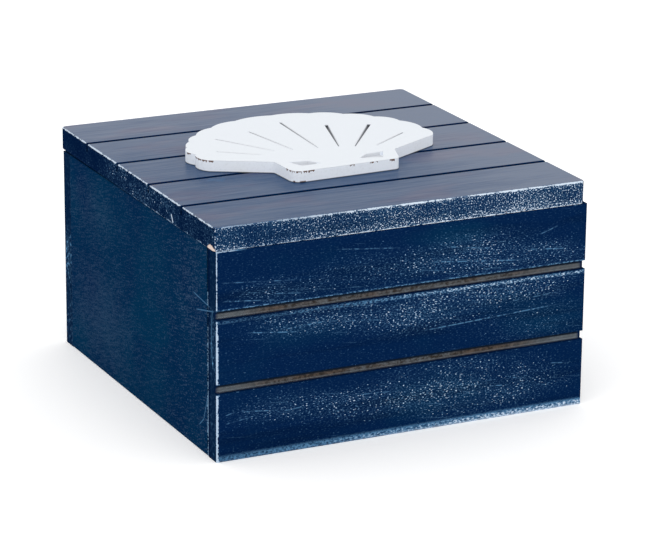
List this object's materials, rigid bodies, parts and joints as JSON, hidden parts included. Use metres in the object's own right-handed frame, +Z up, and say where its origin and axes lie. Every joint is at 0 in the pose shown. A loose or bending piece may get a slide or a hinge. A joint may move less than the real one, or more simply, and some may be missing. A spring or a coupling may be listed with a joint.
{
  "type": "decorative wooden box",
  "caption": "Square wooden keepsake box, painted navy, with a hinged plank-grooved lid that carries a flat white scallop shell.",
  "frame": {"origin": "on the table, in the middle of the footprint from the front board to the hinge knuckles", "axes": "+Z up through the lid, +X to the right of someone who faces the front board, +Y towards the hinges"},
  "size_m": [0.1508, 0.1507, 0.0929],
  "materials": {
    "navy_painted_wood": "thin navy paint over wood, sanded through to white and bare wood at the edges",
    "white_painted_wood": "matt white paint over wood, chipped to brown at the lower edges",
    "hinge_metal": "satin, slightly tarnished",
    "screw_metal": "satin, slotted"
  },
  "bodies": {
    "box": {"front_board": "navy_painted_wood", "back_board": "navy_painted_wood", "left_side_board": "navy_painted_wood", "right_side_board": "navy_painted_wood", "bottom_panel": "navy_painted_wood", "left_hinge_box_leaf": "hinge_metal", "right_hinge_box_leaf": "hinge_metal", "left_hinge_pin": "hinge_metal", "right_hinge_pin": "hinge_metal", "box_hinge_screws": "screw_metal"},
    "lid": {"lid_board": "navy_painted_wood", "shell_ornament": "white_painted_wood", "left_hinge_lid_leaf": "hinge_metal", "right_hinge_lid_leaf": "hinge_metal", "lid_hinge_screws": "screw_metal"}
  },
  "joints": [
    {"name": "lid_hinge", "type": "hinge", "parent": "box", "child": "lid", "pos_m": [0, 0.0742, 0.07935], "axis": [-1, 0, 0], "range_deg": [0, 180]}
  ]
}
